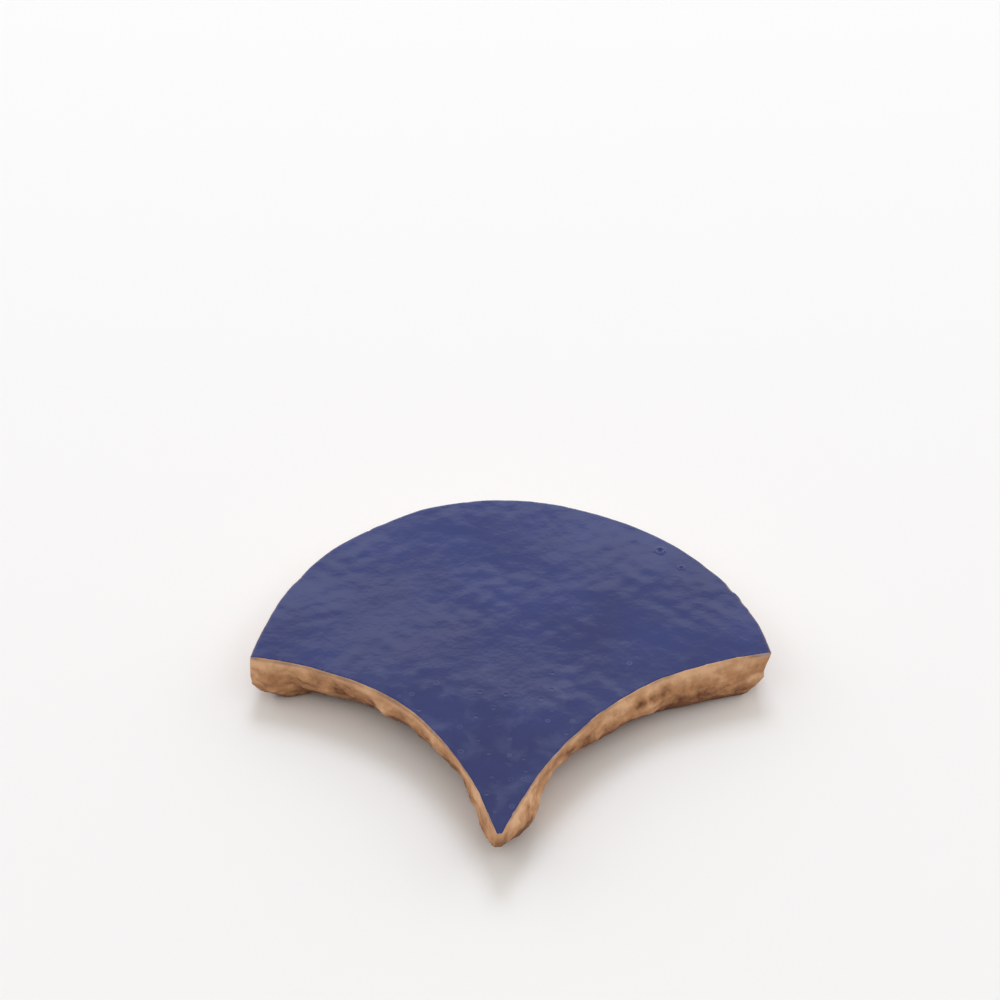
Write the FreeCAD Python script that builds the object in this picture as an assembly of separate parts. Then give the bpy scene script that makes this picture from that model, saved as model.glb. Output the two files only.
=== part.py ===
"""Fish scale tile: a fired clay scale with a round head, two hollow flanks and a blunt tip.

The face is cut upright from the glaze down, then every edge is trimmed away underneath,
so that only the face meets its neighbours and the mortar has room below.
The left flank is trimmed once more at its foot, which lifts it off the floor between its two ends.
Lengths are in mm. The head's centre is at x = 0, y = 0, and the back lies on z = 0.
"""
import FreeCAD, Part
import math
import os

V = FreeCAD.Vector
UP = V(0, 0, 1)

# Outline of the glazed face
HEAD_RADIUS = 51.5
CORNER_RISE = 0.5  # the two corners lie this far above the head's centre
TIP_REACH = 49.0  # from the head's centre down to the tip
TIP_WIDTH = 0.9  # the tip is nipped off blunt
TIP_OFFSET = -1.6  # the tip was cut this far to the left of the head's centre
LEFT_FLANK_RADIUS = 57.5  # the hollow flanks were cut by hand, so one is flatter than the other
RIGHT_FLANK_RADIUS = 68.5

# Section
THICKNESS = 11.5
HEAD_LEAN = 42.0  # lean of the trimmed edge from upright, in degrees
FLANK_LEAN = 37.0
LEFT_FOOT_LEAN = 60.0
TIP_LAND = 3.6  # height of the upright face that is left at the tip

# How far the back's edge lies inside the face's edge
HEAD_UNDERCUT = 4.3
LEFT_UNDERCUT_CORNER = 2.0
LEFT_UNDERCUT_MIDDLE = 5.5
LEFT_UNDERCUT_TIP = 1.0
RIGHT_UNDERCUT_CORNER = 0.3
RIGHT_UNDERCUT_MIDDLE = 4.3
RIGHT_UNDERCUT_TIP = 1.0
LEFT_FOOT_CORNER = 0.4  # less than the undercut at both ends, so that the foot is whole there
LEFT_FOOT_MIDDLE = 8.5
LEFT_FOOT_TIP = -4.0
TIP_UNDERCUT = 12.5

# What trims the edges stands clear of the tile by this much, and round the head it runs past the corners
CLEARANCE = 1.0
HEAD_OVERRUN = 10.0  # in degrees

LEFT = -1
RIGHT = 1
flank_radius = {LEFT: LEFT_FLANK_RADIUS, RIGHT: RIGHT_FLANK_RADIUS}
head_slope = math.tan(math.radians(HEAD_LEAN))
corner_x = math.sqrt(HEAD_RADIUS ** 2 - CORNER_RISE ** 2)


def flank_ends(side):
    """Corner and tip end of one flank, on the back's plane."""
    corner = V(side * corner_x, CORNER_RISE, 0)
    tip = V(TIP_OFFSET + side * TIP_WIDTH / 2, -TIP_REACH, 0)
    return corner, tip


def flank_centre(side):
    """Centre of one flank's arc, outside the tile."""
    corner, tip = flank_ends(side)
    half_chord = (tip - corner) / 2
    outward = V(-half_chord.y, half_chord.x, 0) * side
    outward.normalize()
    drop = math.sqrt(flank_radius[side] ** 2 - half_chord.Length ** 2)
    return corner + half_chord + outward * drop


def inside_flank(side, point, inset):
    """The point moved from the flank into the tile, square to the flank."""
    centre = flank_centre(side)
    ray = point - centre
    ray.normalize()
    return centre + ray * (flank_radius[side] + inset)


def flank_middle(side):
    """Point of the flank halfway between corner and tip."""
    corner, tip = flank_ends(side)
    return inside_flank(side, (corner + tip) / 2, 0)


def face_outline():
    """Closed outline of the glazed face, drawn on the back's plane."""
    left_corner, left_tip = flank_ends(LEFT)
    right_corner, right_tip = flank_ends(RIGHT)
    head = Part.Arc(left_corner, V(0, HEAD_RADIUS, 0), right_corner)
    right_flank = Part.Arc(right_corner, flank_middle(RIGHT), right_tip)
    tip = Part.LineSegment(right_tip, left_tip)
    left_flank = Part.Arc(left_tip, flank_middle(LEFT), left_corner)
    edges = [curve.toShape() for curve in (head, right_flank, tip, left_flank)]
    return Part.Wire(edges)


def head_trim():
    """Ring that trims the head underneath, leaving an upright land below the glaze."""
    land_foot = HEAD_UNDERCUT / head_slope
    inner = HEAD_RADIUS - HEAD_UNDERCUT - CLEARANCE * head_slope
    outer = HEAD_RADIUS + CLEARANCE * head_slope
    section = Part.makePolygon([
        V(inner, 0, -CLEARANCE),
        V(outer, 0, land_foot + CLEARANCE),
        V(outer + HEAD_UNDERCUT, 0, land_foot + CLEARANCE),
        V(outer + HEAD_UNDERCUT, 0, -CLEARANCE),
        V(inner, 0, -CLEARANCE),
    ])
    ring = Part.Face(section).revolve(V(0, 0, 0), UP, 180 + 2 * HEAD_OVERRUN)
    ring.rotate(V(0, 0, 0), UP, -HEAD_OVERRUN)
    return ring


def flank_trim(side, lean, at_corner, at_middle, at_tip):
    """Cone that trims one flank underneath, by a different amount at its corner, middle and tip."""
    slope = math.tan(math.radians(lean))
    corner, tip = flank_ends(side)
    back_edge = Part.Circle(
        inside_flank(side, corner, at_corner),
        inside_flank(side, flank_middle(side), at_middle),
        inside_flank(side, tip, at_tip),
    )
    height = max(at_corner, at_middle, at_tip) / slope + CLEARANCE
    foot = V(back_edge.Center.x, back_edge.Center.y, -CLEARANCE)
    foot_radius = back_edge.Radius + CLEARANCE * slope
    top_radius = back_edge.Radius - height * slope
    cone = Part.makeCone(foot_radius, top_radius, height + CLEARANCE, foot, UP)
    seam_turn = 0 if side == RIGHT else 180
    cone.rotate(foot, UP, seam_turn)  # the cone's seam then lies on the far side from the tile
    return cone


def tip_trim():
    """Wedge that cuts the tip back underneath, from the foot of its land to the back."""
    land_foot = THICKNESS - TIP_LAND
    slope = TIP_UNDERCUT / land_foot
    section = Part.makePolygon([
        V(-HEAD_RADIUS, -TIP_REACH + TIP_UNDERCUT + CLEARANCE * slope, -CLEARANCE),
        V(-HEAD_RADIUS, -TIP_REACH - CLEARANCE * slope, land_foot + CLEARANCE),
        V(-HEAD_RADIUS, -TIP_REACH - CLEARANCE * slope, -CLEARANCE),
        V(-HEAD_RADIUS, -TIP_REACH + TIP_UNDERCUT + CLEARANCE * slope, -CLEARANCE),
    ])
    return Part.Face(section).extrude(V(2 * HEAD_RADIUS, 0, 0))


blank = Part.Face(face_outline()).extrude(UP * THICKNESS)
tile = blank.cut([
    head_trim(),
    flank_trim(LEFT, FLANK_LEAN, LEFT_UNDERCUT_CORNER, LEFT_UNDERCUT_MIDDLE, LEFT_UNDERCUT_TIP),
    flank_trim(LEFT, LEFT_FOOT_LEAN, LEFT_FOOT_CORNER, LEFT_FOOT_MIDDLE, LEFT_FOOT_TIP),
    flank_trim(RIGHT, FLANK_LEAN, RIGHT_UNDERCUT_CORNER, RIGHT_UNDERCUT_MIDDLE, RIGHT_UNDERCUT_TIP),
    tip_trim(),
])
tile = tile.removeSplitter().Solids[0]

os.makedirs("parts", exist_ok=True)
tile.exportStep("parts/fish_scale_tile.step")
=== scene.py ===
"""Fish scale tile: a scale nibbled by hand from a cobalt glazed clay square, laid glazed face up.

The tile is one closed mesh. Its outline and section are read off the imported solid, height by height,
and then get what the hand left on them: a wavering cut, chipped arrises, chisel scars and a rippled glaze.
"""
import math

import bpy
import numpy as np
from bpy.props import FloatProperty, FloatVectorProperty, PointerProperty
from bpy.types import Operator, Panel, PropertyGroup
from mathutils import Matrix, Vector, kdtree, noise
from mathutils.geometry import delaunay_2d_cdt


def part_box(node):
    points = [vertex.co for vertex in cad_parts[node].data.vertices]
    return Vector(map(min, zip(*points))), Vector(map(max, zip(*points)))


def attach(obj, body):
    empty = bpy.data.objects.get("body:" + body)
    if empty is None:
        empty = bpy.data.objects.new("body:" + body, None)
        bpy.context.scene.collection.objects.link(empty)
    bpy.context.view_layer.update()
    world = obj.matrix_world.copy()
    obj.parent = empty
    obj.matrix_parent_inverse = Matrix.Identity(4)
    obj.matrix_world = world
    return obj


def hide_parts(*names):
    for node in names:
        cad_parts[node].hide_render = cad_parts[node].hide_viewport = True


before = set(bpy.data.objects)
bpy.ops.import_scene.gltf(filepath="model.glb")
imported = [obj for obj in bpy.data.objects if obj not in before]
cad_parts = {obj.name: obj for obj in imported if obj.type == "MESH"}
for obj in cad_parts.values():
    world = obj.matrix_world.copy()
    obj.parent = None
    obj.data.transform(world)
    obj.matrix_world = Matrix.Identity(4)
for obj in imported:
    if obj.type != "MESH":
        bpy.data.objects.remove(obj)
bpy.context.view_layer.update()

bl_info = {
    "name": "Fish scale tile",
    "version": (1, 0, 0),
    "blender": (4, 5, 0),
    "location": "3D View > Sidebar > Fish scale tile",
    "description": "Makes a hand cut fish scale tile with a cobalt glaze, and its stage",
    "category": "Object",
}

NODE = "fish_scale_tile"
MM = 0.001
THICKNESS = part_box(NODE)[1].z / MM

# How far the hand's cut runs outside the true outline, in mm, by the share of the way along each run
HEAD_CUT = ((0.0, 1.4), (0.03, 0.75), (0.12, -0.3), (0.22, -0.95), (0.32, -0.75), (0.42, 0.0), (0.48, 0.45),
            (0.60, 0.6), (0.70, 0.0), (0.77, -0.1), (0.84, -0.8), (0.92, -0.9), (1.0, 0.35))
LEFT_FLANK_CUT = ((0.0, 0.2), (0.07, 0.4), (0.16, 0.62), (0.26, 0.8), (0.38, 0.57), (0.50, 0.75), (0.60, 1.2),
                  (0.70, 1.5), (0.80, 1.35), (0.90, 1.25), (1.0, 0.3))
RIGHT_FLANK_CUT = ((0.0, 0.3), (0.08, 0.5), (0.15, 0.6), (0.30, 0.4), (0.40, 0.15), (0.50, -0.45), (0.62, -0.95),
                   (0.70, -1.25), (0.80, -1.0), (0.92, -0.9), (1.0, -1.1))
FACE_CUTS = (HEAD_CUT, LEFT_FLANK_CUT, RIGHT_FLANK_CUT)

# How much further out the foot of each run lies than the solid's, in the same way. It stands out in heels at the left
# corner and by the tip, and is cut back between them
HEAD_FOOT = ((0.0, -1.3), (0.03, -1.0), (0.10, 0.0), (1.0, 0.0))
LEFT_FLANK_FOOT = ((0.0, 0.7), (0.045, 1.6), (0.075, 0.7), (0.115, -0.9), (0.22, -1.0), (0.35, -0.7), (0.52, 0.1),
                   (0.62, -0.7), (0.72, -1.1), (0.85, -0.6), (0.94, 0.5), (1.0, 0.6))
RIGHT_FLANK_FOOT = ((0.0, 0.0), (0.05, 0.9), (0.09, 1.1), (0.15, 0.4), (0.21, -0.5), (0.30, -1.7), (0.38, -1.0),
                    (0.46, 0.2), (0.65, 1.0), (0.80, 1.6), (1.0, 0.0))
FOOT_CUTS = (HEAD_FOOT, LEFT_FLANK_FOOT, RIGHT_FLANK_FOOT)

# Pinholes that burst open in the glaze: x, y and radius in mm
PINHOLES = ((32.0, 34.7, 0.78), (36.1, 28.8, 0.5))
BUBBLES = 24  # smaller ones, strewn about the lower half
BUBBLE_SEED = 11

# Broad humps and one hollow of the face: x, y, reach and height in mm. Between them the glaze lies FACE_DROP below the
# solid's face
HUMPS = ((-9.0, 57.0, 15.0, 0.75), (27.0, 27.0, 11.0, 0.28), (46.0, 8.0, 10.0, 0.20), (-22.0, -8.0, 14.0, 0.42),
         (2.0, 0.0, 9.0, -0.15), (6.0, -16.0, 7.0, 0.18), (-47.0, 13.0, 8.0, 0.16))
FACE_DROP = 0.42

# Dark spots on the sides, x, y, z and reach in mm: stains of the fire, and painted shade on undercut clay low down
STAINS_AND_SHADE = ((-38.5, -3.6, 9.5, 2.4), (-34.0, -4.5, 7.0, 2.4), (-26.5, -9.0, 8.0, 2.8), (-21.0, -13.5, 5.0, 4.7),
          (-16.0, -19.0, 6.0, 4.6), (-11.0, -26.0, 6.5, 4.4), (-8.0, -32.0, 6.5, 3.6), (-4.8, -42.5, 7.5, 3.6),
          (-1.6, -48.5, 8.5, 3.4), (2.4, -42.0, 4.0, 4.0), (1.2, -44.3, 5.3, 2.5), (3.5, -40.3, 8.8, 2.0),
          (3.4, -41.2, 5.6, 2.5), (11.5, -22.5, 6.5, 2.5), (14.8, -19.0, 6.5, 3.2), (18.5, -15.0, 6.0, 3.2),
          (22.0, -12.3, 5.5, 3.0), (25.8, -10.2, 8.4, 1.8), (28.4, -8.4, 8.2, 1.8), (30.8, -7.0, 8.8, 2.0),
          (36.0, -2.5, 5.0, 6.0))

# Seeds that set the noises of the glaze and the clay apart
WARP_SEED, WAVE_SEED, RIPPLE_SEED, PATCH_SEED = 1.3, 5.1, 8.4, 2.6
NIBBLE_SEED, CHIP_SEED, CHIP_PATCH_SEED, HOLLOW_SEED = 3.7, 4.9, 7.3, 9.2
RIDGE_DEPTH_SEED, RIDGE_SEED, LUMP_SEED, GRIT_SEED = 3.1, 7.9, 2.2, 6.6

# The whole outline is in sight of this point, at every height
MIDDLE = (0.0, 12.0)

# Corners are the outline's furthest points in these directions
RIGHT_CORNER_WAY = (1.0, -0.3)
LEFT_CORNER_WAY = (-1.0, -0.3)


def linear(hex_colour):
    """Linear red, green and blue of an sRGB hex colour."""
    channels = [int(hex_colour[place:place + 2], 16) / 255 for place in (0, 2, 4)]
    return [c / 12.92 if c <= 0.04045 else ((c + 0.055) / 1.055) ** 2.4 for c in channels]


def length(name, description, millimetres):
    """A length that a user may change, given in mm."""
    return FloatProperty(name=name, description=description, default=millimetres * MM, unit="LENGTH", precision=5)


def colour(name, description, hex_colour):
    """A colour that a user may change, given as sRGB hex."""
    return FloatVectorProperty(name=name, description=description, default=linear(hex_colour), subtype="COLOR",
                               size=3, min=0.0, max=1.0)


class TileShape(PropertyGroup):
    """Sizes of the hand's work on the tile."""
    step: length("Mesh step", "Distance between the points of the mesh", 0.42)
    back_step: length("Back step", "Distance between the points of the back", 0.8)
    nibble: length("Nibble", "How far the small bites of the chisel move the outline", 0.09)
    nibble_length: length("Nibble length", "Length of a bite along the outline", 3.0)
    arris: length("Arris", "Width of the worn edge between glaze and side", 0.12)
    chip: length("Chip", "Width of the largest chips in the glaze's edge", 0.3)
    chip_length: length("Chip length", "Length of a chip along the edge", 2.6)
    warp: length("Warp", "Height of the glaze's long swells", 0.09)
    warp_length: length("Warp length", "Length of the glaze's long swells", 34.0)
    wave: length("Wave", "Height of the glaze's waves", 0.05)
    wave_length: length("Wave length", "Length of the glaze's waves", 9.0)
    ripple: length("Ripple", "Height of the glaze's ripples", 0.042)
    ripple_length: length("Ripple length", "Length of the glaze's ripples", 3.1)
    patch_length: length("Patch length", "Distance between the patches where the glaze's ripples are strongest", 16.0)
    ridge: length("Ridge", "How far the broken side stands out along its ridge", 1.0)
    ridge_depth: length("Ridge depth", "How far the ridge lies below the glaze", 3.4)
    ridge_length: length("Ridge length", "Length of a stretch of the ridge", 9.0)
    scar: length("Scar", "Depth of the chisel's scars in the sides", 0.6)
    scar_length: length("Scar length", "Length of a chisel scar", 7.0)
    lump: length("Lump", "Height of the clay's lumps", 0.16)
    lump_length: length("Lump length", "Length of the clay's lumps", 2.2)
    grit: length("Grit", "Height of the clay's grit", 0.07)
    grit_length: length("Grit length", "Size of the clay's grit", 0.8)
    hollow: length("Hollow", "How far the back rises off its bed between its edges", 0.35)
    hollow_length: length("Hollow length", "Length of the back's unevenness", 16.0)


class TileColours(PropertyGroup):
    """Colours of the glaze and the clay."""
    glaze_deep: colour("Glaze, deep", "Where the cobalt glaze is thick", "212a60")
    glaze_thin: colour("Glaze, thin", "Where the cobalt glaze is thin", "273774")
    # The bubbles' colour is partly their own paleness and partly painted glints
    glaze_bubble_and_glint: colour("Glaze, bubble", "Bubbles caught in the glaze", "7f88a8")
    glaze_edge: colour("Glaze, cut", "The cut through the glaze, seen from the side", "725a58")
    glaze_crushed: colour("Glaze, crushed", "Where the cut crushed the glaze's edge", "959bb8")
    clay: colour("Clay", "Fired clay", "c59167")
    # The dust colour also shows the painted light where the clay faces up; the burnt colour also the painted shade
    clay_dust: colour("Clay dust", "Clay bruised pale by the chisel", "e6b991")
    clay_burnt_and_shade: colour("Burnt clay", "Clay where the fire reached it", "70432a")


class StageSettings(PropertyGroup):
    """Floor, light and camera."""
    floor: colour("Floor", "Pale floor", "f3f4f5")
    floor_size: length("Floor size", "Side of the floor", 6000.0)
    lamp_power: FloatProperty(name="Lamp power", description="Power of the lamp behind the tile", default=12.8,
                              unit="POWER")
    lamp_colour: colour("Lamp colour", "The lamp is as cool as a window", "e8f1ff")
    room_colour: colour("Room colour", "The room's light is a little warm", "fffaf4")
    lamp_size: length("Lamp size", "Side of the square lamp", 800.0)
    lamp_distance: length("Lamp distance", "From the head's centre to the lamp", 2000.0)
    lamp_height: FloatProperty(name="Lamp height", description="Angle of the lamp above the floor",
                               default=math.radians(54.0), subtype="ANGLE")
    back_light: FloatProperty(name="Back light", description="Brightness of the wall behind the tile", default=1.24)
    front_light: FloatProperty(name="Front light", description="Brightness of the wall before the tile", default=1.38)
    gap_light: FloatProperty(name="Gap light", description="Brightness between the wall behind and the ceiling",
                             default=0.68)
    ceiling_light: FloatProperty(name="Ceiling light", description="Brightness of the ceiling", default=0.61)
    wall_top: FloatProperty(name="Wall top", description="Angle above the floor at which the wall behind starts to dim",
                            default=math.radians(36.7), subtype="ANGLE")
    gap_start: FloatProperty(name="Gap start", description="Angle at which the wall behind has dimmed to the gap",
                             default=math.radians(42.3), subtype="ANGLE")
    gap_end: FloatProperty(name="Gap end", description="Angle at which the gap starts to pass into the ceiling",
                           default=math.radians(54.0), subtype="ANGLE")
    ceiling_start: FloatProperty(name="Ceiling start", description="Angle at which the ceiling is at its brightness",
                                 default=math.radians(66.0), subtype="ANGLE")
    front_start: FloatProperty(name="Front start", description="Angle above the floor below which the front is dark",
                               default=math.radians(20.0), subtype="ANGLE")
    front_end: FloatProperty(name="Front end", description="Angle above the floor from which the front is bright",
                             default=math.radians(44.0), subtype="ANGLE")
    view_turn: FloatProperty(name="View turn", description="Angle of the view round the tile",
                             default=math.radians(0.2), subtype="ANGLE")
    view_height: FloatProperty(name="View height", description="Angle of the view above the floor",
                               default=math.radians(37.0), subtype="ANGLE")
    view_roll: FloatProperty(name="View roll", description="Lean of the camera", default=math.radians(-0.16),
                             subtype="ANGLE")
    view_distance: length("View distance", "From the camera to the point it looks at", 528.3)
    aim: FloatVectorProperty(name="Aim", description="Point in the middle of the view", size=3, unit="LENGTH",
                             default=(-1.9 * MM, 52.2 * MM, THICKNESS * MM))
    lens: FloatProperty(name="Lens", description="Focal length in mm on a 36 mm wide sensor", default=87.5)


def wobble(place, size, seed=0.0):
    """Smooth noise from -1 to 1 at a place in mm, with features of about the given size in mm."""
    return noise.noise(Vector((place[0] / size + seed, place[1] / size - seed, place[2] / size + 2.0 * seed)))


def solid_wires(node):
    """Points, in mm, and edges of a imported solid."""
    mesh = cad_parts[node].data
    points = np.array([vertex.co for vertex in mesh.vertices]) / MM
    edges = np.array([edge.vertices[:] for edge in mesh.edges])
    return points, edges


def section(points, edges, height):
    """Outline of the solid at one height, as points in order round its middle."""
    start, end = points[edges[:, 0]], points[edges[:, 1]]
    crossed = (start[:, 2] - height) * (end[:, 2] - height) < 0
    start, end = start[crossed], end[crossed]
    share = (height - start[:, 2]) / (end[:, 2] - start[:, 2])
    cuts = start + share[:, None] * (end - start)
    touching = points[np.abs(points[:, 2] - height) < 1e-3]
    outline = np.unique(np.round(np.vstack([cuts, touching])[:, :2], 3), axis=0)
    return outline[np.argsort(np.arctan2(outline[:, 1] - MIDDLE[1], outline[:, 0] - MIDDLE[0]))]


def spread(path, count):
    """Points at even steps along a path, without its last point."""
    run = np.concatenate([[0.0], np.cumsum(np.hypot(*np.diff(path, axis=0).T))])
    places = np.linspace(0.0, run[-1], count, endpoint=False)
    return np.column_stack([np.interp(places, run, path[:, axis]) for axis in (0, 1)])


def runs(outline):
    """The outline's three runs: the head from right to left, the left flank to the tip, the right flank back."""
    blunt_height = 0.05  # points this close to the lowest belong to the blunt tip
    outline = np.roll(outline, -np.argmax(outline @ RIGHT_CORNER_WAY), axis=0)
    left = np.argmax(outline @ LEFT_CORNER_WAY)
    blunt = np.flatnonzero(outline[:, 1] < outline[:, 1].min() + blunt_height)
    tip = outline[blunt].mean(axis=0)
    head = outline[:left + 1]
    left_flank = np.vstack([outline[left:blunt[0] + 1], tip])
    right_flank = np.vstack([tip, outline[blunt[-1]:], outline[:1]])
    return head, left_flank, right_flank


def outward(run):
    """Unit vectors square to a run, pointing out of the tile."""
    along = np.gradient(run, axis=0)
    along /= np.hypot(*along.T)[:, None]
    return np.column_stack([along[:, 1], -along[:, 0]])


def ease(x):
    """Smooth step from 0 to 1."""
    x = np.clip(x, 0.0, 1.0)
    return x * x * (3.0 - 2.0 * x)


def curve(shares, stations):
    """Value at each share of a run, on a smooth curve through the stations that doesn't overshoot them."""
    at, value = np.array(stations).T
    width = np.diff(at)
    step = np.diff(value) / width
    slope = np.concatenate([step[:1], np.zeros(len(at) - 2), step[-1:]])
    for index in range(1, len(at) - 1):
        before, after = step[index - 1], step[index]
        if before * after > 0.0:
            slope[index] = 2.0 * before * after / (before + after)
    left = np.clip(np.searchsorted(at, shares, side="right") - 1, 0, len(at) - 2)
    t = (shares - at[left]) / width[left]
    held = value[left] + ease(t) * (value[left + 1] - value[left])
    leaning = width[left] * t * (1.0 - t) * ((1.0 - t) * slope[left] - t * slope[left + 1])
    return held + leaning


def hand_cut(edge_runs, cuts, step):
    """How far the hand's cut moves each point from the true outline, as vectors in mm."""
    corner_reach = 8.0  # a corner carries its neighbour run's shift for this far
    normals = [outward(run) for run in edge_runs]
    shifts = []
    for index, run in enumerate(edge_runs):
        before, after = index - 1, (index + 1) % len(edge_runs)
        share = np.arange(len(run)) / len(run)
        travelled = share * len(run) * step
        left_over = travelled[-1] - travelled
        shift = curve(share, cuts[index])[:, None] * normals[index]
        shift += (1.0 - ease(travelled / corner_reach))[:, None] * cuts[before][-1][1] * normals[before][-1]
        shift += (1.0 - ease(left_over / corner_reach))[:, None] * cuts[after][0][1] * normals[after][0]
        shifts.append(shift)
    return np.vstack(shifts)


def bubbles(outline):
    """Pinholes and burst bubbles of the glaze: x, y, radius and depth in mm. There are more towards the tip."""
    start, run_in = 4.0, 36.0  # below this y they grow more frequent, over this length
    stray = 0.03  # share of the places higher up that get one
    smallest, growth = 0.3, 0.25  # the smallest radius, and how much larger the largest is
    apart, off_edge = 1.8, 1.2  # least distance between two, and to the outline
    pinhole_depth, bubble_depth = 0.5, 0.07  # in shares of the radius
    random = np.random.RandomState(BUBBLE_SEED)
    found = [(x, y, radius, pinhole_depth * radius) for x, y, radius in PINHOLES]
    low, high = outline.min(axis=0), outline.max(axis=0)
    while len(found) < len(PINHOLES) + BUBBLES:
        spot = low + (high - low) * random.rand(2)
        radius = smallest + growth * random.rand()
        wanted = random.rand() < stray + (1.0 - stray) * ease((start - spot[1]) / run_in)
        nearest = min(math.hypot(spot[0] - x, spot[1] - y) for x, y, _radius, _depth in found)
        to_edge = np.hypot(*(outline - spot).T).min()
        if wanted and nearest > apart and to_edge > off_edge and inside(spot[None, :], outline)[0]:
            found.append((spot[0], spot[1], radius, bubble_depth * radius))
    return found


def glaze_height(plan, holes, shape):
    """Heights of the glaze over a plan, in mm: humps, swells, waves and ripples, with burst bubbles."""
    least, mean, change = 0.35, 0.95, 1.1  # strength of the ripples, from patch to patch
    lip, lip_place, lip_width = 0.24, 1.15, 0.25  # the lip of a hole, in shares of its depth and its radius
    height = np.full(len(plan), THICKNESS - FACE_DROP)
    for x, y, reach, rise in HUMPS:
        height += rise * np.exp(-((plan - (x, y)) ** 2).sum(axis=1) / (2.0 * reach ** 2))
    for rise, size, seed in ((shape.warp, shape.warp_length, WARP_SEED), (shape.wave, shape.wave_length, WAVE_SEED)):
        height += rise / MM * np.array([wobble((x, y, 0.0), size / MM, seed) for x, y in plan])
    for index, (x, y) in enumerate(plan):
        strength = max(least, mean + change * wobble((x, y, 0.0), shape.patch_length / MM, PATCH_SEED))
        height[index] += strength * shape.ripple / MM * wobble((x, y, 0.0), shape.ripple_length / MM, RIPPLE_SEED)
    for x, y, radius, depth in holes:
        away = np.hypot(*(plan - (x, y)).T) / radius
        height -= depth * np.clip(1.0 - away ** 2, 0.0, None) ** 2
        height += lip * depth * np.exp(-((away - lip_place) / lip_width) ** 2)
    return height


def side_relief(place, shape):
    """How far the broken clay stands out at a place on the sides, in mm, and how bruised it is there, from 0 to 1."""
    wander = 0.7  # the ridge's depth varies by this share
    mean, change = 0.5, 0.9  # how high the ridge is from stretch to stretch, in shares of its full height
    fall = 0.6  # below its crest the ridge falls off by this share of its rise
    askew, upright = 0.5, 0.7  # the chisel was held askew, and its scars are longer up and down than along the side
    scar_curve, scar_level = 1.6, 0.35  # how fast a scar rises from its middle, and the level that it is counted from
    bruise_fall = 3.0  # how fast a bruise fades away from the edge between two scars
    around = (place[0], place[1], 0.0)
    ridge_depth = shape.ridge_depth / MM * (1.0 + wander * wobble(around, shape.ridge_length / MM, RIDGE_DEPTH_SEED))
    stand = shape.ridge / MM * (mean + change * wobble(around, shape.ridge_length / MM, RIDGE_SEED))
    depth = (THICKNESS - place[2]) / ridge_depth
    relief = max(0.0, stand) * max(0.0, min(depth, 1.0 + fall * (1.0 - depth)))
    size = shape.scar_length / MM
    slanted = ((place[0] + askew * place[2]) / size, place[1] / size, upright * place[2] / size)
    distances, _centres = noise.voronoi(Vector(slanted))
    scar = scar_curve * distances[0] ** 2
    bruise = min(1.0, max(0.0, 1.0 - bruise_fall * (distances[1] - distances[0])))
    relief += shape.scar / MM * (scar - scar_level)
    relief += shape.lump / MM * wobble(place, shape.lump_length / MM, LUMP_SEED)
    relief += shape.grit / MM * wobble(place, shape.grit_length / MM, GRIT_SEED)
    return relief, bruise


def inside(points, outline):
    """Which points lie inside a closed outline, by counting the edges that a ray to the right crosses."""
    odd = np.zeros(len(points), bool)
    for (ax, ay), (bx, by) in zip(outline, np.roll(outline, -1, axis=0)):
        if ay == by:
            continue
        spans = (ay > points[:, 1]) != (by > points[:, 1])
        odd ^= spans & (points[:, 0] < ax + (points[:, 1] - ay) * (bx - ax) / (by - ay))
    return odd


def filling(outline, step, extra=()):
    """Points that fill an outline evenly, in rows set like bricks, with the extra points among them."""
    crowded = 0.55  # a point closer than this share of a step to a given one is left out
    low, high = outline.min(axis=0), outline.max(axis=0)
    columns = np.arange(low[0], high[0], step)
    rows = np.arange(low[1], high[1], step * math.sqrt(3.0) / 2.0)
    x, y = np.meshgrid(columns, rows)
    x[1::2] += step / 2.0
    points = np.column_stack([x.ravel(), y.ravel()])
    points = points[inside(points, outline)]
    given = list(outline) + list(extra)
    tree = kdtree.KDTree(len(given))
    for index, (x, y) in enumerate(given):
        tree.insert((x, y, 0.0), index)
    tree.balance()
    clear = [tree.find((x, y, 0.0))[2] > crowded * step for x, y in points]
    points = points[np.array(clear)]
    return np.vstack([points, np.array(extra)]) if len(extra) else points


def hole_rings(holes):
    """Points in rings round each hole of the glaze, close enough together to give it its shape."""
    ring_shares = (0.3, 0.55, 0.8, 1.05, 1.3, 1.7)  # of the hole's radius
    ring_points = 12
    turns = np.linspace(0.0, 2.0 * math.pi, ring_points, endpoint=False)
    points = []
    for x, y, radius, _depth in holes:
        points.append((x, y))
        for share in ring_shares:
            for turn in turns:
                points.append((x + share * radius * math.cos(turn), y + share * radius * math.sin(turn)))
    return points


def triangles(outline, inner):
    """Triangles over an outline and its inner points, as indices into the two in that order."""
    inside_only, tolerance = 1, 1e-6
    points = [Vector(p) for p in np.vstack([outline, inner])]
    loop = list(range(len(outline)))
    _points, _edges, faces, came_from, _e, _f = delaunay_2d_cdt(points, [], [loop], inside_only, tolerance)
    if len(came_from) != len(points):
        raise RuntimeError("the outline crosses itself")
    return [[came_from[corner][0] for corner in face] for face in faces]


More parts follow.
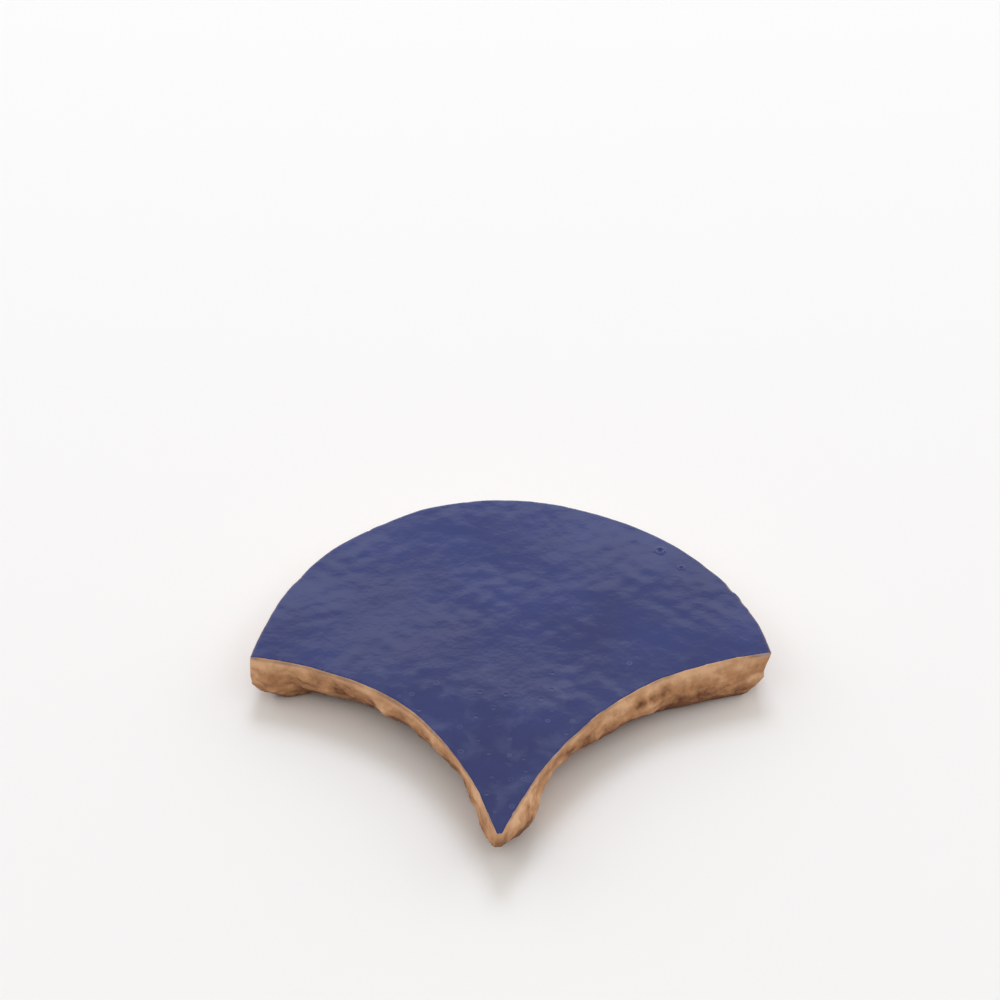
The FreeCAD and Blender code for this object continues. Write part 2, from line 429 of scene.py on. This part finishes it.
def side_rings(shape):
    """Rings of points down the hand cut sides, in mm, with the face's normals and the number of points on the head."""
    ring_step = 0.34
    heel_depth, heel_fall = 5.0, 0.05  # heels stand out most this far down, and lose this share with each mm below
    points, edges = solid_wires(NODE)
    step = shape.step / MM
    true_runs = runs(section(points, edges, THICKNESS))
    counts = [round(np.hypot(*np.diff(run, axis=0).T).sum() / step) for run in true_runs]
    edge_runs = [spread(run, count) for run, count in zip(true_runs, counts)]
    normal = np.vstack([outward(run) for run in edge_runs])
    shift = hand_cut(edge_runs, FACE_CUTS, step)
    foot_shift = hand_cut(edge_runs, FOOT_CUTS, step)
    bites = [wobble((x, y, 0.0), shape.nibble_length / MM, NIBBLE_SEED) for x, y in np.vstack(edge_runs)]
    shift += np.array(bites)[:, None] * shape.nibble / MM * normal
    rings = []
    for height in np.linspace(THICKNESS, 0.0, round(THICKNESS / ring_step)):
        ring = np.vstack([spread(run, count) for run, count in zip(runs(section(points, edges, height)), counts)])
        depth = THICKNESS - height
        ring += shift + min(depth / heel_depth, 1.0 - heel_fall * (depth - heel_depth)) * foot_shift
        rings.append(np.column_stack([ring, np.full(len(ring), height)]))
    return np.array(rings), normal, counts[0]


def break_sides(sides, head_count, shape):
    """Gives the sides' rings the relief of broken clay, and returns how bruised each point is, from 0 to 1."""
    flush = 0.1  # the head was dressed flush: its side stands out no further than this
    edge_share, edge_reach = 0.12, 1.2  # the relief has this share at the arris, and all of it this far below
    foot_reach = 1.5  # it fades out over this height above the floor
    tip_share, tip_reach = 0.3, 10.0  # it has this share at the tip, and all of it this far from there
    around = np.roll(sides, -1, axis=1) - np.roll(sides, 1, axis=1)
    down = np.gradient(sides, axis=0)
    facing = np.cross(down, around)
    facing /= np.linalg.norm(facing, axis=2)[:, :, None] + 1e-9
    limit = np.full(sides.shape[1], np.inf)
    limit[:head_count + 1] = flush
    bruises = np.zeros(sides.shape[:2])
    for row, height in enumerate(sides[:, 0, 2].copy()):
        depth = THICKNESS - height
        strength = min(1.0, edge_share + (1.0 - edge_share) * depth / edge_reach, height / foot_reach)
        relief, bruises[row] = np.array([side_relief(place, shape) for place in sides[row]]).T
        from_tip = sides[row, :, 1] - sides[row, :, 1].min()
        relief *= strength * (tip_share + (1.0 - tip_share) * ease(from_tip / tip_reach))
        sides[row] += np.minimum(relief, limit)[:, None] * facing[row]
    sides[:, :, 2] = np.clip(sides[:, :, 2], 0.0, THICKNESS)
    sides[-1, :, 2] = 0.0
    return bruises


def arris_wear(top, shape):
    """How far the arris is worn back along the top ring, in mm: a little everywhere, with chips here and there."""
    uneven = 0.4  # the wear varies by this share
    patch = 5.0  # a stretch with chips is this many chips long
    chip_start, chip_range = 0.15, 0.5  # a chip starts at this value of its noise, and is whole this much above it
    patch_start, patch_range = -0.25, 0.6
    bites = np.array([wobble(place, shape.chip_length / MM, CHIP_SEED) for place in top])
    patches = np.array([wobble(place, patch * shape.chip_length / MM, CHIP_PATCH_SEED) for place in top])
    chips = ease((bites - chip_start) / chip_range) * ease((patches - patch_start) / patch_range)
    return shape.arris / MM * (1.0 + uneven * bites) + shape.chip / MM * chips


def tile_mesh(shape):
    """Mesh of the whole tile, in metres: glaze, sides and back, closed, with the glaze as material 0."""
    wear_drop = 0.9  # a worn arris lies lower by this share of its width
    sink_reach = 3.0  # the sides follow the glaze's ups and downs to this far below it
    sharp = math.radians(55.0)  # an edge sharper than this isn't shaded smooth
    sides, normal, head_count = side_rings(shape)
    heights = sides[:, 0, 2].copy()
    bruises = break_sides(sides, head_count, shape)
    worn = arris_wear(sides[0], shape)
    rim = sides[0, :, :2] - normal * worn[:, None]

    holes = bubbles(rim)
    glaze_fill = filling(rim, shape.step / MM, hole_rings(holes))
    back_fill = filling(sides[-1, :, :2], shape.back_step / MM)
    glaze_plan = np.vstack([rim, glaze_fill])
    glaze = np.column_stack([glaze_plan, glaze_height(glaze_plan, holes, shape)])
    sink = THICKNESS - glaze[:len(rim), 2] + wear_drop * worn
    fade = np.clip(1.0 - (THICKNESS - heights) / sink_reach, 0.0, 1.0)
    sides[:, :, 2] -= fade[:, None] * sink[None, :]
    hollows = [wobble((x, y, 0.0), shape.hollow_length / MM, HOLLOW_SEED) for x, y in back_fill]
    rise = [shape.hollow / MM * (0.5 + 0.5 * hollow) for hollow in hollows]
    back = np.column_stack([back_fill, rise])

    columns = len(rim)
    side_start = len(glaze)
    back_start = side_start + sides.shape[0] * columns
    faces = triangles(rim, glaze_fill)
    glaze_faces = len(faces)
    starts = [0] + [side_start + row * columns for row in range(sides.shape[0])]
    for above, below in zip(starts, starts[1:]):
        for column in range(columns):
            after = (column + 1) % columns
            faces.append((above + column, below + column, below + after, above + after))
    last_ring = starts[-1]
    for face in triangles(sides[-1, :, :2], back_fill):
        corners = [last_ring + c if c < columns else back_start + c - columns for c in face]
        faces.append(corners[::-1])

    mesh = bpy.data.meshes.new("glazed_tile")
    mesh.from_pydata(np.vstack([glaze, sides.reshape(-1, 3), back]) * MM, [], faces)
    clay = np.ones(len(faces), np.int32)
    clay[:glaze_faces] = 0
    mesh.polygons.foreach_set("material_index", clay)
    mesh.polygons.foreach_set("use_smooth", np.ones(len(faces), bool))
    mesh.set_sharp_from_angle(angle=sharp)
    bruise = mesh.attributes.new("bruise", "FLOAT", "POINT")
    bruise.data.foreach_set("value", np.concatenate([np.zeros(len(glaze)), bruises.ravel(), np.zeros(len(back))]))
    mesh.validate()
    return mesh


def add_node(tree, kind, inputs=None, **settings):
    """Adds a node with its settings. Each input gets a value, or a link from another node's output."""
    node = tree.nodes.new(kind)
    for name, value in settings.items():
        setattr(node, name, value)
    for socket, value in (inputs or {}).items():
        if isinstance(value, bpy.types.NodeSocket):
            tree.links.new(value, node.inputs[socket])
        else:
            node.inputs[socket].default_value = value
    return node


# Sockets of a colour Mix node, which has one set for each kind of data
MIX_A, MIX_B, MIXED = 6, 7, 2


def cobalt_glaze(colours):
    """Cobalt glaze fired glossy on clay: deep blue glass, clouds of thinner colour, wisps, and bubble rings with
    painted glints.
    """
    material = bpy.data.materials.new("cobalt_glaze")
    material.use_nodes = True
    tree = material.node_tree
    place = add_node(tree, "ShaderNodeTexCoord").outputs["Object"]

    # The glaze ran thicker towards the tip, with clouds about 14 mm across
    along = add_node(tree, "ShaderNodeSeparateXYZ", {"Vector": place}).outputs["Y"]
    run = add_node(tree, "ShaderNodeMapRange", {"Value": along, "From Min": -45 * MM, "From Max": 45 * MM,
                                                "To Min": -0.2, "To Max": 0.6})
    clouds = add_node(tree, "ShaderNodeTexNoise", {"Vector": place, "Scale": 1 / (14 * MM), "Detail": 4.0})
    drift = add_node(tree, "ShaderNodeMapRange", {"Value": clouds.outputs["Fac"], "From Min": 0.3, "From Max": 0.7,
                                                  "To Max": 0.5})
    thin = add_node(tree, "ShaderNodeMath", {0: run.outputs[0], 1: drift.outputs[0]}, operation="ADD", use_clamp=True)
    body = add_node(tree, "ShaderNodeMix", {0: thin.outputs[0], MIX_A: (*colours.glaze_deep, 1),
                                            MIX_B: (*colours.glaze_thin, 1)}, data_type="RGBA")

    # Bubbles caught in the glaze: pale rings about 1 mm across, 2.4 mm apart, in more of the cells towards the tip.
    # The rings are partly the bubbles' own paleness and partly painted glints
    cells = add_node(tree, "ShaderNodeTexVoronoi", {"Vector": place, "Scale": 1 / (2.4 * MM), "Randomness": 0.8},
                     voronoi_dimensions="2D")
    chance = add_node(tree, "ShaderNodeSeparateColor", {"Color": cells.outputs["Color"]})
    crowd = add_node(tree, "ShaderNodeMapRange", {"Value": along, "From Min": 2 * MM, "From Max": -45 * MM,
                                                  "To Max": 0.4})
    chosen = add_node(tree, "ShaderNodeMath", {0: chance.outputs["Red"], 1: crowd.outputs[0]}, operation="LESS_THAN")
    radius = add_node(tree, "ShaderNodeMapRange", {"Value": chance.outputs["Green"], "To Min": 0.12, "To Max": 0.22})
    off_ring = add_node(tree, "ShaderNodeMath", {0: cells.outputs["Distance"], 1: radius.outputs[0]},
                        operation="SUBTRACT")
    off_ring = add_node(tree, "ShaderNodeMath", {0: off_ring.outputs[0]}, operation="ABSOLUTE")
    ring = add_node(tree, "ShaderNodeMapRange", {"Value": off_ring.outputs[0], "From Min": 0.12, "From Max": 0.0,
                                                 "To Max": 0.24})
    paleness = add_node(tree, "ShaderNodeMath", {0: chosen.outputs[0], 1: chance.outputs["Blue"]}, operation="MULTIPLY")
    bubble_and_glint = add_node(tree, "ShaderNodeMath", {0: ring.outputs[0], 1: paleness.outputs[0]}, operation="MULTIPLY")

    # Milky wisps some 6 mm long, where the finest bubbles cloud the glaze's lower half
    wisps = add_node(tree, "ShaderNodeTexNoise", {"Vector": place, "Scale": 1 / (6 * MM), "Detail": 5.0,
                                                  "Distortion": 0.35})
    lower = add_node(tree, "ShaderNodeMapRange", {"Value": along, "From Min": 5 * MM, "From Max": -20 * MM,
                                                  "To Max": 0.15})
    milk = add_node(tree, "ShaderNodeMapRange", {"Value": wisps.outputs["Fac"], "From Min": 0.48, "From Max": 0.72,
                                                 "To Max": lower.outputs[0]})
    pale = add_node(tree, "ShaderNodeMath", {0: bubble_and_glint.outputs[0], 1: milk.outputs[0]}, operation="MAXIMUM")
    bubbled = add_node(tree, "ShaderNodeMix", {0: pale.outputs[0], MIX_A: body.outputs[MIXED],
                                               MIX_B: (*colours.glaze_bubble_and_glint, 1)}, data_type="RGBA")

    # The gloss is a little dulled in patches some 5 mm across
    patches = add_node(tree, "ShaderNodeTexNoise", {"Vector": place, "Scale": 1 / (5 * MM), "Detail": 3.0})
    gloss = add_node(tree, "ShaderNodeMapRange", {"Value": patches.outputs["Fac"], "From Min": 0.3, "From Max": 0.7,
                                                  "To Min": 0.03, "To Max": 0.07})

    # Orange peel of 1.2 mm, too fine for the mesh
    peel = add_node(tree, "ShaderNodeTexNoise", {"Vector": place, "Scale": 1 / (1.2 * MM), "Detail": 2.0})
    bump = add_node(tree, "ShaderNodeBump", {"Height": peel.outputs["Fac"], "Strength": 0.5, "Distance": 0.05 * MM})

    shader = tree.nodes["Principled BSDF"]
    tree.links.new(bubbled.outputs[MIXED], shader.inputs["Base Color"])
    tree.links.new(gloss.outputs[0], shader.inputs["Roughness"])
    tree.links.new(bump.outputs[0], shader.inputs["Normal"])
    shader.inputs["IOR"].default_value = 1.5
    return material


def fired_terracotta(colours):
    """Soft fired terracotta broken by the chisel: sandy orange, dust-pale ridges, fire-dark patches, painted light and
    shade.
    """
    material = bpy.data.materials.new("fired_terracotta")
    material.use_nodes = True
    tree = material.node_tree
    source = add_node(tree, "ShaderNodeTexCoord")
    place = source.outputs["Object"]
    height = add_node(tree, "ShaderNodeSeparateXYZ", {"Vector": place}).outputs["Z"]

    # How pale the clay is: streaks along the sides, some 6 mm long, with 1.5 mm grains. It is paler on the bruised
    # edges between the chisel's scars and dark in the spots. Painted light and shade: paler where it faces up, darker
    # where it faces down and at the foot
    facing = add_node(tree, "ShaderNodeSeparateXYZ", {"Vector": source.outputs["Normal"]}).outputs["Z"]
    bruise = add_node(tree, "ShaderNodeAttribute", attribute_name="bruise").outputs["Fac"]
    flattened = add_node(tree, "ShaderNodeVectorMath", {0: place, 1: (1, 1, 2)}, operation="MULTIPLY").outputs[0]
    streaks = add_node(tree, "ShaderNodeTexNoise", {"Vector": flattened, "Scale": 1 / (6 * MM), "Detail": 4.0,
                                                    "Distortion": 0.3}).outputs["Fac"]
    grains = add_node(tree, "ShaderNodeTexNoise", {"Vector": place, "Scale": 1 / (1.5 * MM), "Detail": 5.0,
                                                   "Roughness": 0.65}).outputs["Fac"]
    tone = streaks
    # The facing term is painted light and shade: paler where the clay faces up, darker where it faces down
    for cause, share in ((facing, 0.25), (grains, 0.6), (bruise, 0.06)):
        tone = add_node(tree, "ShaderNodeMath", {0: cause, 1: share, 2: tone}, operation="MULTIPLY_ADD").outputs[0]
    for x, y, z, reach in STAINS_AND_SHADE:
        # Each spot darkens the clay: partly a stain of the fire, partly painted shade on the undercut
        away = add_node(tree, "ShaderNodeVectorMath", {0: place, 1: (x * MM, y * MM, z * MM)}, operation="DISTANCE")
        stain_and_shade = add_node(tree, "ShaderNodeMapRange", {"Value": away.outputs["Value"], "From Min": reach * MM,
                                                      "From Max": 0.2 * reach * MM, "To Max": 0.35})
        tone = add_node(tree, "ShaderNodeMath", {0: tone, 1: stain_and_shade.outputs[0]}, operation="SUBTRACT").outputs[0]
    # Painted shade: darker towards the foot and where the clay faces down, as in the shadow under the tile
    foot = add_node(tree, "ShaderNodeMapRange", {"Value": height, "From Min": 4.0 * MM, "From Max": 0.5 * MM,
                                                 "To Max": 0.15})
    under = add_node(tree, "ShaderNodeMapRange", {"Value": facing, "From Min": -0.2, "From Max": -0.7, "To Max": 0.14})
    for shade in (foot, under):
        tone = add_node(tree, "ShaderNodeMath", {0: tone, 1: shade.outputs[0]}, operation="SUBTRACT").outputs[0]
    # The tone's painted light and shade carry into these masks: paler facing up, darker facing down and at the foot
    dust_and_light = add_node(tree, "ShaderNodeMapRange", {"Value": tone, "From Min": 0.82, "From Max": 1.08})
    speckle = add_node(tree, "ShaderNodeMapRange", {"Value": grains, "From Min": 0.35, "From Max": 0.65,
                                                    "To Min": 1.0, "To Max": 0.68})
    burnt_and_shade = add_node(tree, "ShaderNodeMapRange", {"Value": tone, "From Min": 0.8, "From Max": 0.44,
                                                  "To Max": speckle.outputs[0]})
    body = add_node(tree, "ShaderNodeMix", {0: dust_and_light.outputs[0], MIX_A: (*colours.clay, 1),
                                            MIX_B: (*colours.clay_dust, 1)}, data_type="RGBA")
    stained = add_node(tree, "ShaderNodeMix", {0: burnt_and_shade.outputs[0], MIX_A: body.outputs[MIXED],
                                               MIX_B: (*colours.clay_burnt_and_shade, 1)}, data_type="RGBA")

    # Dust of the cut, which thickens through the top 3 mm
    top = add_node(tree, "ShaderNodeMapRange", {"Value": height, "From Min": (THICKNESS - 3.0) * MM,
                                                "From Max": (THICKNESS - 0.5) * MM, "To Max": 0.45})
    dusted = add_node(tree, "ShaderNodeMix", {0: top.outputs[0], MIX_A: stained.outputs[MIXED],
                                              MIX_B: (*colours.clay_dust, 1)}, data_type="RGBA")

    # The cut through the glaze, in the top 0.4 mm under the face: dark where it is clean, pale where it is crushed
    crush = add_node(tree, "ShaderNodeTexNoise", {"Vector": place, "W": 5.0, "Scale": 1 / (9 * MM), "Detail": 3.0},
                     noise_dimensions="4D").outputs["Fac"]
    clean = add_node(tree, "ShaderNodeMapRange", {"Value": crush, "From Min": 0.4, "From Max": 0.55})
    broken = add_node(tree, "ShaderNodeMapRange", {"Value": crush, "From Min": 0.54, "From Max": 0.62})
    cut = add_node(tree, "ShaderNodeMix", {0: broken.outputs[0], MIX_A: (*colours.glaze_edge, 1),
                                           MIX_B: (*colours.glaze_crushed, 1)}, data_type="RGBA")
    edge = add_node(tree, "ShaderNodeMapRange", {"Value": height, "From Min": (THICKNESS - FACE_DROP - 0.6) * MM,
                                                 "From Max": (THICKNESS - FACE_DROP - 0.2) * MM, "To Max": 0.6})
    shown = add_node(tree, "ShaderNodeMath", {0: edge.outputs[0], 1: clean.outputs[0]}, operation="MULTIPLY")
    edged = add_node(tree, "ShaderNodeMix", {0: shown.outputs[0], MIX_A: dusted.outputs[MIXED],
                                             MIX_B: cut.outputs[MIXED]}, data_type="RGBA")

    # Sand grains of 0.5 mm, drawn as bump
    grain = add_node(tree, "ShaderNodeTexNoise", {"Vector": place, "Scale": 1 / (0.5 * MM), "Detail": 3.0})
    bump = add_node(tree, "ShaderNodeBump", {"Height": grain.outputs["Fac"], "Strength": 0.6, "Distance": 0.12 * MM})

    shader = tree.nodes["Principled BSDF"]
    tree.links.new(edged.outputs[MIXED], shader.inputs["Base Color"])
    tree.links.new(bump.outputs[0], shader.inputs["Normal"])
    shader.inputs["Roughness"].default_value = 0.92
    shader.inputs["IOR"].default_value = 1.45
    return material


class FISHSCALE_OT_tile(Operator):
    """Makes the tile: one closed mesh with a glazed face and clay sides and back."""
    bl_idname = "fishscale.tile"
    bl_label = "Make the tile"

    def execute(self, context):
        shape, colours = context.scene.tile_shape, context.scene.tile_colours
        mesh = tile_mesh(shape)
        mesh.materials.append(cobalt_glaze(colours))
        mesh.materials.append(fired_terracotta(colours))
        tile = bpy.data.objects.new("glazed_tile", mesh)
        context.scene.collection.objects.link(tile)
        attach(tile, "root")
        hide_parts(NODE)
        return {"FINISHED"}


def make_floor(stage):
    """Pale floor under the tile."""
    half = stage.floor_size / 2.0
    mesh = bpy.data.meshes.new("floor")
    mesh.from_pydata([(-half, -half, 0), (half, -half, 0), (half, half, 0), (-half, half, 0)], [], [(0, 1, 2, 3)])
    material = bpy.data.materials.new("matt_white_board")
    material.use_nodes = True
    shader = material.node_tree.nodes["Principled BSDF"]
    shader.inputs["Base Color"].default_value = (*stage.floor, 1)
    shader.inputs["Roughness"].default_value = 0.9
    mesh.materials.append(material)
    floor = bpy.data.objects.new("floor", mesh)
    bpy.context.scene.collection.objects.link(floor)


def make_lamp(stage):
    """Large soft lamp behind the tile."""
    lamp = bpy.data.lights.new("back_lamp", "AREA")
    lamp.energy = stage.lamp_power
    lamp.color = stage.lamp_colour
    lamp.size = stage.lamp_size
    holder = bpy.data.objects.new("back_lamp", lamp)
    way = Vector((0.0, math.cos(stage.lamp_height), math.sin(stage.lamp_height)))
    holder.location = way * stage.lamp_distance
    holder.rotation_euler = way.to_track_quat("Z", "Y").to_euler()
    holder.visible_glossy = False  # the glaze mirrors the room alone
    bpy.context.scene.collection.objects.link(holder)


def make_room(stage):
    """Light of the room: a wall behind with a dim gap above it, a front that is dark at its foot, and a ceiling.

    Only the camera sees plain white past the floor.
    """
    turn = 0.6  # the front passes into the wall behind while a direction's Y goes from minus this to this
    world = bpy.data.worlds.new("room")
    world.use_nodes = True
    tree = world.node_tree
    way = add_node(tree, "ShaderNodeTexCoord").outputs["Generated"]
    parts = add_node(tree, "ShaderNodeSeparateXYZ", {"Vector": way})
    front = add_node(tree, "ShaderNodeMapRange", {
        "Value": parts.outputs["Z"], "From Min": math.sin(stage.front_start), "From Max": math.sin(stage.front_end),
        "To Max": stage.front_light}, interpolation_type="SMOOTHSTEP")
    rear = add_node(tree, "ShaderNodeMapRange", {
        "Value": parts.outputs["Z"], "From Min": math.sin(stage.wall_top), "From Max": math.sin(stage.gap_start),
        "To Min": stage.back_light, "To Max": stage.gap_light}, interpolation_type="SMOOTHSTEP")
    wall = add_node(tree, "ShaderNodeMapRange", {
        "Value": parts.outputs["Y"], "From Min": -turn, "From Max": turn,
        "To Min": front.outputs[0], "To Max": rear.outputs[0]}, interpolation_type="SMOOTHSTEP")
    light = add_node(tree, "ShaderNodeMapRange", {
        "Value": parts.outputs["Z"], "From Min": math.sin(stage.gap_end), "From Max": math.sin(stage.ceiling_start),
        "To Min": wall.outputs[0], "To Max": stage.ceiling_light}, interpolation_type="SMOOTHSTEP")
    seen = add_node(tree, "ShaderNodeLightPath").outputs["Is Camera Ray"]
    strength = add_node(tree, "ShaderNodeMix", {0: seen, 2: light.outputs[0], 3: 1.0}, data_type="FLOAT")
    tint = add_node(tree, "ShaderNodeMix", {0: seen, MIX_A: (*stage.room_colour, 1), MIX_B: (1, 1, 1, 1)},
                    data_type="RGBA")
    background = tree.nodes["Background"]
    tree.links.new(tint.outputs[MIXED], background.inputs["Color"])
    tree.links.new(strength.outputs[0], background.inputs["Strength"])
    bpy.context.scene.world = world


def make_camera(stage):
    """Camera at the photograph's viewing angle."""
    turn, height, roll = stage.view_turn, stage.view_height, stage.view_roll
    back = Vector((math.sin(turn) * math.cos(height), -math.cos(turn) * math.cos(height), math.sin(height)))
    right = Vector((math.cos(turn), math.sin(turn), 0.0))
    rolled = Matrix((right, back.cross(right), back)).transposed() @ Matrix.Rotation(roll, 3, "Z")
    camera = bpy.data.cameras.new("camera")
    camera.lens = stage.lens
    camera.sensor_width = 36.0
    camera.clip_start = 0.01
    holder = bpy.data.objects.new("camera", camera)
    holder.location = Vector(stage.aim) + back * stage.view_distance
    holder.rotation_euler = rolled.to_euler()
    bpy.context.scene.collection.objects.link(holder)
    bpy.context.scene.camera = holder


class FISHSCALE_OT_stage(Operator):
    """Sets the stage: floor, lamp, room and camera."""
    bl_idname = "fishscale.stage"
    bl_label = "Set the stage"

    def execute(self, context):
        stage = context.scene.tile_stage
        make_floor(stage)
        make_lamp(stage)
        make_room(stage)
        make_camera(stage)
        context.scene.view_settings.view_transform = "Standard"
        return {"FINISHED"}


class FISHSCALE_PT_panel(Panel):
    """Lists the tile's sizes and colours, and the two operators."""
    bl_idname = "FISHSCALE_PT_panel"
    bl_label = "Fish scale tile"
    bl_space_type = "VIEW_3D"
    bl_region_type = "UI"
    bl_category = "Fish scale tile"

    def draw(self, context):
        scene = context.scene
        for operator, settings in ((FISHSCALE_OT_tile, scene.tile_shape), (None, scene.tile_colours),
                                   (FISHSCALE_OT_stage, scene.tile_stage)):
            box = self.layout.box()
            for name in settings.__annotations__:
                box.prop(settings, name)
            if operator:
                box.operator(operator.bl_idname)


CLASSES = (TileShape, TileColours, StageSettings, FISHSCALE_OT_tile, FISHSCALE_OT_stage, FISHSCALE_PT_panel)


def register():
    """Registers the classes and hangs their settings on the scene."""
    for cls in CLASSES:
        bpy.utils.register_class(cls)
    bpy.types.Scene.tile_shape = PointerProperty(type=TileShape)
    bpy.types.Scene.tile_colours = PointerProperty(type=TileColours)
    bpy.types.Scene.tile_stage = PointerProperty(type=StageSettings)


def unregister():
    """Takes the settings off the scene and unregisters the classes."""
    for name in ("tile_shape", "tile_colours", "tile_stage"):
        delattr(bpy.types.Scene, name)
    for cls in reversed(CLASSES):
        bpy.utils.unregister_class(cls)


def main():
    register()
    bpy.ops.fishscale.tile()
    bpy.ops.fishscale.stage()


if __name__ == "__main__":
    main()
